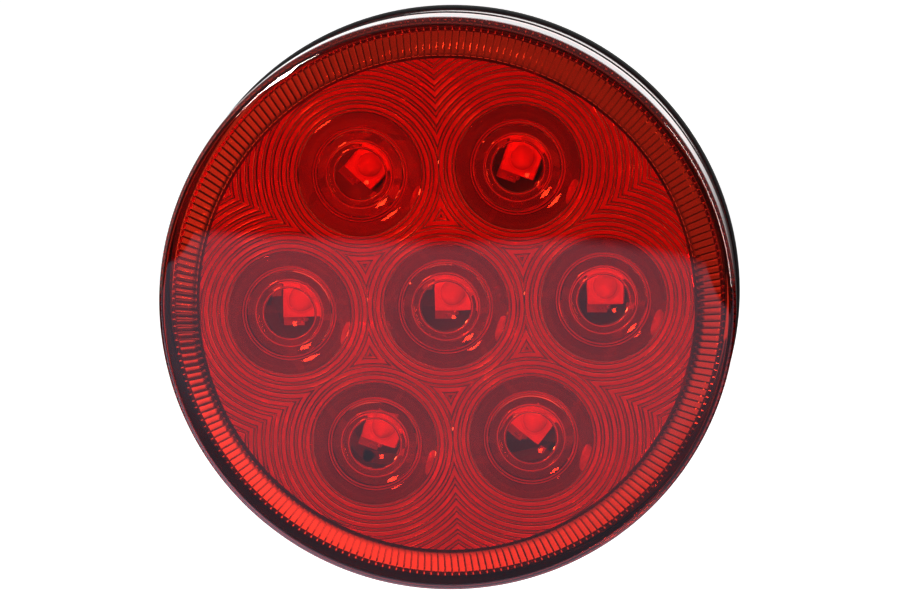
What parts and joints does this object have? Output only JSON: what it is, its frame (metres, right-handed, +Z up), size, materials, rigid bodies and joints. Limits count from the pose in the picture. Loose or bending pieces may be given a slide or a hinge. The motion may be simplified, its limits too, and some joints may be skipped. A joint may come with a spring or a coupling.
{
  "type": "trailer tail light",
  "caption": "Round sealed LED stop, turn and tail lamp with a crowned red lens, a black flanged housing and a recessed three-pin connector.",
  "frame": {"origin": "on the lamp's axis, in the plane of the rim's rear face, which seats in the panel grommet", "axes": "lamp upright: the red lens faces -Y, the connector leaves the back towards +Y, +Z is up and +X is to the right of a person who looks at the lens"},
  "size_m": [0.1116, 0.0423, 0.1116],
  "materials": {
    "red_lens": "clear red moulded polycarbonate, glossy outside, fine rings and flutes inside",
    "black_housing": "black moulded plastic, satin, fine texture",
    "sealant": "cured black sealant bead",
    "board": "dark solder mask over copper, satin",
    "led_package": "white moulded package with a clear dome",
    "component": "black moulded component body with tinned ends",
    "can": "bare drawn can",
    "terminal": "bright brass pin",
    "epoxy": "black poured epoxy"
  },
  "bodies": {
    "root": {"lens": "red_lens", "housing": "black_housing", "lens_sealant": "sealant", "circuit_board": "board", "led_1": "led_package", "led_2": "led_package", "led_3": "led_package", "led_4": "led_package", "led_5": "led_package", "led_6": "led_package", "led_7": "led_package", "resistor_1": "component", "resistor_2": "component", "resistor_3": "component", "resistor_4": "component", "resistor_5": "component", "resistor_6": "component", "diode_stop": "component", "diode_tail": "component", "capacitor": "can", "current_regulator": "component", "surge_suppressor": "component", "pin_stop_turn": "terminal", "pin_ground": "terminal", "pin_tail": "terminal", "potting": "epoxy"}
  },
  "joints": []
}
